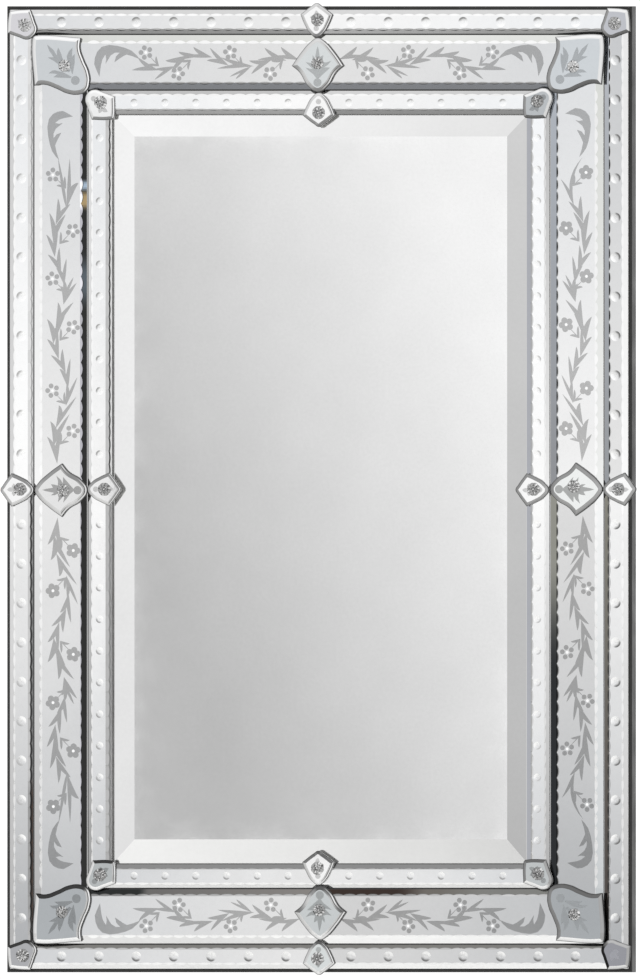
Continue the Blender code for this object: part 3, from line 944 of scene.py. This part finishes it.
OUTER_CORNER = Plate(
    half=((2.7, 2.7), (7.8, 1.2), (29, -0.4, SHARP), (34, 14), (37, 25), (32.6, 32.6)),
    starts=(0.3988, 0.5980), away=-1, bevel=0.0042,
    sprig=(
        ((22, 22), (13, 12.5), 0.05), ((23, 22), (23.5, 10.5), -0.05), ((22, 23), (14, 22), 0.05),
    ),
    stud=0.0203, dot=None, radius=0.0085, glints=(0.92, 0.18, 0.10),
)
INNER_CORNER = Plate(
    half=((1.4, 1.4), (6.2, 0), (29, 0, SHARP), (34, 14), (37.4, 25.8), (33.8, 33.8)),
    starts=(0.2605, 0.4609), away=1, bevel=0.0042,
    sprig=(((16, 16), (8, 10), 0.10), ((18, 17), (19, 8), -0.12), ((17, 18), (9, 20), 0.12)),
    stud=0.0182, dot=(0.0262, 0.0034), radius=0.0083, glints=(0.85, 0.16, 0.10),
)
# The three plates of a place, by the ends of their names. The tables below keep their order.
MIDDLE_PLATES = {"": LARGE_MIDDLE, "_outer": OUTER_MIDDLE, "_inner": INNER_MIDDLE}
CORNER_PLATES = {"": LARGE_CORNER, "_outer": OUTER_CORNER, "_inner": INNER_CORNER}
# The plates were fixed by hand: how far, in millimetres to the right and up, each is off its
# place, and its rosette off its middle line
SEATS = {
    "top": (((0, 0), (0, 0)), ((-1.6, 0), (0, 0)), ((1.3, 0), (1.5, -3))),
    "right": (((2.1, 0), (-3, 3.5)), ((1.8, 0), (0, 0)), ((1.2, -0.7), (4.2, 0))),
    "bottom": (((3, 1), (2, 6.8)), ((1.3, 0.6), (0, 0)), ((0.6, 1), (0, 0))),
    "left": (((0, -1.2), (5.6, -1.5)), ((-0.8, -0.8), (4, 0)), ((-0.6, 0), (0, 0))),
    "top_left": (((0.6, -0.7), (3.2, 1)), ((1.8, -2.4), (4, -1.2)), ((0, -1.9), (1, 1.6))),
    "top_right": (((0, 0.6), (0, 0)), ((0.6, -0.5), (2, 1)), ((2.6, 0), (2.8, 3.1))),
    "bottom_left": (((1.9, 0), (0, 0)), ((1.6, 1.3), (1, -1.5)), ((1.2, 0), (0, 0))),
    "bottom_right": (((0.8, 0.6), (1.6, -3)), ((1, 1.6), (0, 0)), ((2.5, 1), (3.6, 1.5))),
}
# The tones of their flats' painted reflections
COVER_FLAT_REFLECTIONS = {
    "top": ((213, 217, 218), 248, 248),
    "right": ((238, 240, 239), 250, 250),
    "bottom": ((200, 204, 205), (216, 220, 220), 244),
    "left": (228, 246, 240),
    "top_left": ((204, 208, 211), (213, 212, 216), 238),
    "top_right": ((205, 210, 214), (190, 192, 198), (186, 190, 193)),
    "bottom_left": ((173, 177, 180), (172, 173, 176), (182, 186, 187)),
    "bottom_right": ((167, 171, 174), (150, 151, 157), (192, 196, 197)),
}
# The sprigs' tone as a share of the flat's, of most plates and of some
SPRIG_SHARE = 0.84
SPRIG_SHARES = {
    "corner_plate_bottom_right": 0.97, BARE_PLATE: 1.09,
    "middle_plate_left": 0.74, "middle_plate_right": 0.74,
}
# The bevels' painted reflections and shade by where the plate is and which way the bevel faces
FACINGS = ("up", "right", "down", "left")
BEVEL_REFLECTIONS = {
    "top": (214, 196, 132, 206),
    "right": (146, 172, 158, 140),
    "bottom": (92, 196, 244, 200),
    "left": (140, 186, 210, 176),
    "top_left": (246, 206, 138, 224),
    "top_right": (238, 226, 104, 148),
    "bottom_left": (60, 196, 246, 218),
    "bottom_right": (106, 166, 242, 132),
    "bare": (182, 176, 222, 36),
}
# How far each row of a bevel is from the edge as a share of its width, and the row's share of its
# tone. A painted highlight runs down the lined bevels, which are those that face right in some
# places.
BEVEL_ROWS = (0.17, 0.46, 0.68, 1.0)
BEVEL_PROFILES = {
    "up": (0.72, 1.0, 1.04, 1.0),
    "down": (0.62, 0.98, 1.03, 1.06),
    "left": (0.62, 0.96, 1.0, 1.03),
    "right": (0.30, 0.96, 1.03, 1.0),
    "lined": (0.30, 1.22, 0.56, 1.0),
}
LINED_ZONES = ("top_left", "bottom_left", "top", "bottom", "left")
# Insetting an outline: the pace in metres, how near two corners join, how many corners a stray
# loop may have, and the least share that slows a sharp corner
INSET_PACE = 0.0003
JOIN_WITHIN = 0.00006
LONGEST_LOOP = 16
SHARPEST = 0.35


def outline_points(points):
    """A smooth closed curve through the points, given in millimetres, as corners in metres."""
    curve = bpy.data.curves.new("outline", "CURVE")
    curve.dimensions = "2D"
    curve.fill_mode = "NONE"
    curve.resolution_u = OUTLINE_STEPS
    spline = curve.splines.new("BEZIER")
    spline.bezier_points.add(len(points) - 1)
    spline.use_cyclic_u = True
    for knot, (x, y, *sharp) in zip(spline.bezier_points, points):
        knot.co = (x * MM, y * MM, 0.0)
        knot.handle_left_type = knot.handle_right_type = sharp[0] if sharp else SMOOTH
    guide = placed("outline", curve)
    evaluated = guide.evaluated_get(bpy.context.evaluated_depsgraph_get())
    mesh = bpy.data.meshes.new_from_object(evaluated)
    corners = [Vector(vert.co.xy) for vert in mesh.vertices]
    bpy.data.objects.remove(guide, do_unlink=True)
    bpy.data.curves.remove(curve)
    bpy.data.meshes.remove(mesh)
    return corners


def crossing(a, b, c, d):
    """Where the lines from a to b and from c to d cross, or None."""
    first, second = b - a, d - c
    turn = first.cross(second)
    if abs(turn) < 1e-16:
        return None
    along, other = (c - a).cross(second) / turn, (c - a).cross(first) / turn
    return a + first * along if 0 < along < 1 and 0 < other < 1 else None


def untangle(groups):
    """Cut off the small loops where a closed row of corners crosses itself."""
    index = 0
    while index < len(groups):
        groups = groups[1:] + groups[:1]
        for far in range(2, min(LONGEST_LOOP, len(groups) - 1)):
            places = [place for _, place in groups]
            meeting = crossing(places[0], places[1], places[far], places[far + 1 - len(places)])
            if meeting:
                members = [member for group in groups[1:far + 1] for member in group[0]]
                groups = [groups[0], (members, meeting)] + groups[far + 1:]
                break
        index += 1
    return groups


def inset_rows(corners, distances):
    """The closed outline moved inwards to each distance. Corners that would pass others join."""
    inwards = 1.0 if turns_left(corners) else -1.0
    groups = [([index], corner.copy()) for index, corner in enumerate(corners)]
    rows = []
    reached = 0.0

    def move(places, distance):
        moved = []
        for index, place in enumerate(places):
            before = (place - places[index - 1]).normalized()
            after = (places[(index + 1) % len(places)] - place).normalized()
            normals = [Vector((-run.y, run.x)) * inwards for run in (before, after)]
            middle = (normals[0] + normals[1]).normalized()
            moved.append(place + middle * distance / max(middle.dot(normals[0]), SHARPEST))
        return moved

    for distance in distances:
        while reached < distance - 1e-9:
            pace = min(INSET_PACE, distance - reached)
            groups = groups[len(groups) // 3:] + groups[:len(groups) // 3]
            places = [place for _, place in groups]
            moved = move(places, pace)
            joined = []
            skip = False
            for index in range(len(groups)):
                following = (index + 1) % len(groups)
                if skip:
                    skip = False
                    continue
                members, place = groups[index][0], moved[index]
                old, new = places[following] - places[index], moved[following] - place
                if following and (old.dot(new) <= 0 or new.length < JOIN_WITHIN):
                    members = members + groups[following][0]
                    place = (place + moved[following]) / 2
                    skip = True
                joined.append((members, place))
            groups = joined
            reached += pace
        groups = untangle(groups)
        row = [None] * len(corners)
        for members, place in groups:
            for member in members:
                row[member] = place
        rows.append(row)
    return rows


def bevel_tone(zone, normal, row):
    """Painted reflection of a row of a cover plate's bevel that faces along the normal."""
    facing = BEVEL_REFLECTIONS[zone]
    upright = "right" if normal.x > 0 else "left"
    profile = "lined" if upright == "right" and zone in LINED_ZONES else upright
    level = "up" if normal.z > 0 else "down"
    beside = facing[FACINGS.index(upright)] * BEVEL_PROFILES[profile][row]
    above = facing[FACINGS.index(level)] * BEVEL_PROFILES[level][row]
    return mixed(beside, above, smoothstep(0.15, 0.85, normal.z**2))


def on_face(turn, right, up):
    """A shift in millimetres to the right and up, in the side's own axes and in metres."""
    shift = turn.inverted() @ Vector((right * MM, 0.0, up * MM))
    return Vector((shift.x, shift.z))


def cover_plate(name, place, order, turns, plate, signs, draw):
    """One cover plate and its rosette. signs are those of a corner plate's quarter, or None."""
    glass = Glass(turns)
    turn = glass.turn.to_3x3()
    zone = "bare" if name == BARE_PLATE else place
    flat = COVER_FLAT_REFLECTIONS[place][order]
    nudge, stud_nudge = (on_face(turn, *shift) for shift in SEATS[place][order])

    def other_half(x, y):
        return (y, x) if signs else (-x, y)

    def to_face(x, y):
        """A place in the half outline's axes, but in metres, on the side's face."""
        if not signs:
            return Vector((x, plate.starts[(turns + 1) % 2] + plate.away * y))
        return Vector(
            sign * (start + plate.away * reach)
            for sign, start, reach in zip(signs, plate.starts, (x, y))
        )

    def on_middle_line(reach):
        return reach if signs else 0.0, reach

    outline = list(plate.half)
    outline += [(*other_half(x, y), *sharp) for x, y, *sharp in reversed(plate.half[1:-1])]
    corners = [to_face(*corner) + nudge for corner in outline_points(outline)]
    rows = [corners] + inset_rows(corners, [plate.bevel * share for share in BEVEL_ROWS])
    depths = [COVER_FRONT - BEVEL_FALL * (1.0 - share) for share in (0.0,) + BEVEL_ROWS]
    loops = [[glass.vert(x, depth, z) for x, z in row] for row, depth in zip(rows, depths)]
    back = [glass.vert(x, COVER_BACK, z) for x, z in corners]
    outwards = -1.0 if turns_left(corners) else 1.0

    def facet_tone(index, row):
        run = (corners[index] - corners[index - 1]).normalized()
        normal = turn @ Vector((-run.y * outwards, 0.0, run.x * outwards))
        return bevel_tone(zone, normal, row)

    for row in range(len(BEVEL_ROWS)):
        glass.band(loops[row], loops[row + 1], partial(facet_tone, row=row), closed=True)
    # The inner plates' edges carry painted light, the others the ground edge's own tone
    side_tone = INNER_COVER_LIT_EDGE if plate.away > 0 else EDGE_TONE
    glass.band(back, loops[0], side_tone, EDGE, closed=True)
    glass.face(back[::-1], EDGE_TONE, BACK)
    crest = []
    for vert in loops[-1]:
        if not crest or (vert.co - crest[-1].co).length > TOUCHING:
            crest.append(vert)
    if (crest[0].co - crest[-1].co).length < TOUCHING:
        crest.pop()
    marks = []
    for shape in plate.sprig:
        if len(shape) == 3:
            base, tip, bend = shape
            shape = blade(base, tip, SPRIG_WIDTH, bend, SPRIG_BELLY)
        marks.append(([to_face(x * MM, y * MM) + nudge for x, y in shape], "etched"))
    if plate.dot:
        dot_place, dot_radius = plate.dot
        dot = circle(on_middle_line(dot_place), dot_radius, sides=24)
        marks.append(([to_face(*point) + nudge for point in dot], "etched"))
    sprig_tone = tuple(value * SPRIG_SHARES.get(name, SPRIG_SHARE) for value in three(flat))
    fill_flat(glass, COVER_FRONT, crest, [], marks, flat, sprig_tone)
    glass.piece(f"glass_{name}", (name,), "cover_mirror")
    if name != BARE_PLATE:
        spot = to_face(*on_middle_line(plate.stud)) + stud_nudge
        rosette(name, plate, turns, spot, flat, draw)


# --- rosettes
ROSETTE_BRIGHTEST_FLAT = 210
# The tones of a painted glint and of a painted dark reflection
ROSETTE_GLINT = 246
ROSETTE_DARK_REFLECTION = 104
ROSETTE_PETALS = 8
ROSETTE_SPOKES = 8
# Shares of the base tone: a plain facet's least and most, and the painted shade of the petals'
# grooves and of the rim
ROSETTE_PLAIN = (0.88, 1.08)
ROSETTE_GROOVE_SHADE, ROSETTE_RIM_SHADE = 0.88, 0.85
# The rings from the rim inwards, as shares of the radius, and where petals and flower end
ROSETTE_LEVELS = (1.0, 0.93, 0.82, 0.68, 0.56, 0.50, 0.42, 0.32, 0.22, 0.17, 0.13, 0.07)
PETALS_END, FLOWER_END = 0.53, 0.19
# The heights over the plate of the foot, and the lowest and the rise of each part
ROSETTE_FOOT = 0.00005
PETAL_HEIGHTS = (0.0004, 0.0021)
FLOWER_HEIGHTS = (0.0016, 0.0018)
BUTTON_HEIGHTS = (0.0024, 0.0014)


def rosette_height(share, turn):
    """Height over the plate: a ring of fluted petals, a raised inner flower and a button."""
    outer = abs(math.sin(ROSETTE_PETALS / 2 * turn))
    inner = abs(math.cos(ROSETTE_PETALS / 2 * turn))
    if share > PETALS_END:
        rise = math.sin(math.pi * (1.0 - share) / 0.62)
        return PETAL_HEIGHTS[0] + PETAL_HEIGHTS[1] * rise * (0.45 + 0.55 * outer)
    if share > FLOWER_END:
        rise = math.sin(math.pi * (0.60 - share) / 0.60)
        return FLOWER_HEIGHTS[0] + FLOWER_HEIGHTS[1] * rise * (0.5 + 0.5 * inner)
    return BUTTON_HEIGHTS[0] + BUTTON_HEIGHTS[1] * math.sqrt(1.0 - (share / FLOWER_END) ** 2)


def rosette(name, plate, turns, centre, flat, draw):
    """A moulded glass rosette on a cover plate. Each facet of it has a painted reflection of its
    own.
    """
    glass = Glass(turns)
    share_of_flat, bright_share, dark_share = plate.glints
    base = share_of_flat * min(three(flat)[1], ROSETTE_BRIGHTEST_FLAT)
    count = ROSETTE_PETALS * ROSETTE_SPOKES
    angles = [2 * math.pi * index / count for index in range(count)]

    def ring(share, sunk=None):
        verts = []
        for turn in angles:
            lobe = 0.93 + 0.07 * abs(math.sin(ROSETTE_PETALS / 2 * turn)) ** 0.6
            reach = plate.radius * share * (1.0 - (1.0 - lobe) * share)
            height = rosette_height(share, turn) if sunk is None else sunk
            x, z = centre[0] + reach * math.cos(turn), centre[1] + reach * math.sin(turn)
            verts.append(glass.vert(x, COVER_FRONT + height, z))
        return verts

    # A cell's painted reflection: a glint, a dark reflection, else a plain tone that differs at
    # random
    def cell_tone():
        chance = draw.random()
        if chance < bright_share:
            return ROSETTE_GLINT
        dark = chance < bright_share + dark_share
        return ROSETTE_DARK_REFLECTION if dark else base * draw.uniform(*ROSETTE_PLAIN)

    def facet_tone(index, level):
        groove_shade = ROSETTE_GROOVE_SHADE if index % ROSETTE_SPOKES in (0, ROSETTE_SPOKES - 1) else 1.0
        return cells[level // 3][index // 2] * groove_shade

    cells = [[cell_tone() for _ in range(count // 2)] for _ in range(4)]
    rows = [ring(level) for level in ROSETTE_LEVELS]
    foot = ring(1.0, ROSETTE_FOOT)
    for level in range(len(rows) - 1):
        tone_of = partial(facet_tone, level=level)
        glass.band(rows[level], rows[level + 1], tone_of, MOULD, closed=True)
    button = glass.vert(centre[0], COVER_FRONT + rosette_height(0.0, 0.0), centre[1])
    glass.fan(rows[-1], button, ROSETTE_GLINT, MOULD)
    glass.band(foot, rows[0], base * ROSETTE_RIM_SHADE, MOULD, closed=True)
    glass.face(foot[::-1], EDGE_TONE, MOULD)
    glass.piece(f"rosette_{name}", (name,), "cover_mirror")


# --- all the pieces
# The softened edges' width and number of segments
RAIL_EDGES = (0.0006, 3)
PANEL_EDGES = (0.0004, 2)


def build_glass():
    draw = random.Random(1907)
    for side, (turns, *halves) in SIDES.items():
        for ring in BEVELS:
            for direction, half in zip((-1, 1), halves):
                ring_strip(ring, side, half, direction, draw)
        for order, (ending, plate) in enumerate(MIDDLE_PLATES.items()):
            cover_plate(f"middle_plate_{side}{ending}", side, order, turns, plate, None, draw)
    for corner, signs in CORNERS.items():
        for order, (ending, plate) in enumerate(CORNER_PLATES.items()):
            cover_plate(f"corner_plate_{corner}{ending}", corner, order, 0, plate, signs, draw)
    centre_plate()


def finish_wood():
    """The rails and the back panel keep their shapes. Their edges are softened a little."""
    pieces = [(f"frame_rail_{side}", BLACK_PAINT, *RAIL_EDGES) for side in SIDES]
    for node, finish, width, segments in pieces + [("back_panel", FIBREBOARD, *PANEL_EDGES)]:
        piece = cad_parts[node]
        piece.data.materials[0] = finish
        softened = piece.modifiers.new("softened_edges", "BEVEL")
        softened.width, softened.segments = width, segments
        softened.limit_method = "ANGLE"


# --- room, light and camera
VIEW_TURN = math.radians(14.0)
PIXELS_PER_METRE = 805.0
IMAGE_HEIGHT = 979
# How far the photograph's frame is off the mirror's middle, in pixels to the right and up
FRAMING_SHIFT = (0.52, -0.25)
CAMERA_DISTANCE = 3.0
# Where the mirror's middle lies in front of the wall
MIDDLE_DEPTH = 0.022
LAMP_PLACE = (-1.6, -2.6, 1.2)
LAMP_SIZE = (2.4, 1.8)
LAMP_POWER = 30.0
FLOOR_LEVEL = -1.30
FLOOR_HALF = 5.0
FLOOR_COLOUR = (0.86, 0.86, 0.85)
FLOOR_ROUGHNESS = 0.8
CARD_DISTANCE = 3.0
CARD_HALVES = (0.252, 0.448)
# The gradient's rise for each metre across and up the card, its share at the card's middle, and
# the tones that it runs between. The gain makes up for what the glass keeps back.
CARD_SLOPES = (1.765, 0.765)
CARD_MIDDLE = 0.449
CARD_TONES = (186, 242)
CARD_GAIN = 1.06


def make_camera():
    right = Vector((math.cos(VIEW_TURN), math.sin(VIEW_TURN), 0.0))
    look = Vector((-math.sin(VIEW_TURN), math.cos(VIEW_TURN), 0.0))
    centre = MIDDLE + Vector((0.0, -MIDDLE_DEPTH, FRAMING_SHIFT[1] / PIXELS_PER_METRE))
    centre += right * FRAMING_SHIFT[0] / PIXELS_PER_METRE
    camera = bpy.data.cameras.new("camera")
    camera.type = "ORTHO"
    camera.ortho_scale = IMAGE_HEIGHT / PIXELS_PER_METRE
    stand = placed("camera", camera)
    stand.location = centre - look * CAMERA_DISTANCE
    stand.rotation_euler = (math.pi / 2, 0.0, VIEW_TURN)
    bpy.context.scene.camera = stand


def make_light():
    world = bpy.data.worlds.new("studio")
    world.use_nodes = True
    backdrop = world.node_tree.nodes["Background"]
    backdrop.inputs["Color"].default_value = (1.0, 1.0, 1.0, 1.0)
    backdrop.inputs["Strength"].default_value = WORLD_LIGHT
    bpy.context.scene.world = world
    lamp = bpy.data.lights.new("soft_light", "AREA")
    lamp.shape = "RECTANGLE"
    lamp.size, lamp.size_y = LAMP_SIZE
    lamp.energy = LAMP_POWER
    stand = placed("soft_light", lamp)
    stand.location = LAMP_PLACE
    stand.rotation_euler = (MIDDLE - stand.location).to_track_quat("-Z", "Y").to_euler()
    stand.visible_glossy = False


def sheet(name, half_x, half_y, squares):
    """A flat sheet with a number of squares along each edge."""
    bm = bmesh.new()
    bmesh.ops.create_grid(bm, x_segments=squares, y_segments=squares, size=1.0)
    bmesh.ops.scale(bm, vec=(half_x, half_y, 1.0), verts=bm.verts)
    return placed(name, bm)


def make_floor():
    floor = sheet("floor", FLOOR_HALF, FLOOR_HALF, 4)
    floor.location = (0.0, 0.0, FLOOR_LEVEL)
    nodes = Nodes("pale_floor")
    nodes.set(Roughness=FLOOR_ROUGHNESS, Base_Color=(*FLOOR_COLOUR, 1.0))
    floor.data.materials.append(nodes.material)


def make_card():
    """A pale card beside the camera, which the central plate mirrors as a soft gradient."""
    card = sheet("reflected_card", *CARD_HALVES, 8)
    aside = (CARD_DISTANCE - PLATE_FRONT) * math.tan(VIEW_TURN)
    card.location = (-aside, -CARD_DISTANCE, MIDDLE.z)
    card.rotation_euler = (math.pi / 2, 0.0, 0.0)
    card.visible_camera = False
    card.visible_diffuse = False
    card.visible_shadow = False
    nodes = Nodes("pale_card")
    place = nodes.add("ShaderNodeTexCoord").outputs["Object"]
    parts = nodes.add("ShaderNodeSeparateXYZ", {"Vector": place}).outputs
    slopes = zip("XY", CARD_SLOPES)
    rises = [nodes.maths(parts[axis], slope, "MULTIPLY") for axis, slope in slopes]
    dark, light = (CARD_GAIN * linear(tone) for tone in CARD_TONES)
    both = nodes.maths(*rises, "ADD")
    level = nodes.ranged(both, -CARD_MIDDLE, 1.0 - CARD_MIDDLE, dark, light)
    glow = nodes.add("ShaderNodeEmission", {"Strength": level}).outputs["Emission"]
    nodes.tree.links.new(glow, nodes.tree.nodes["Material Output"].inputs["Surface"])
    card.data.materials.append(nodes.material)


build_glass()
finish_wood()
make_camera()
make_light()
make_floor()
make_card()
bpy.context.scene.view_settings.view_transform = "Standard"
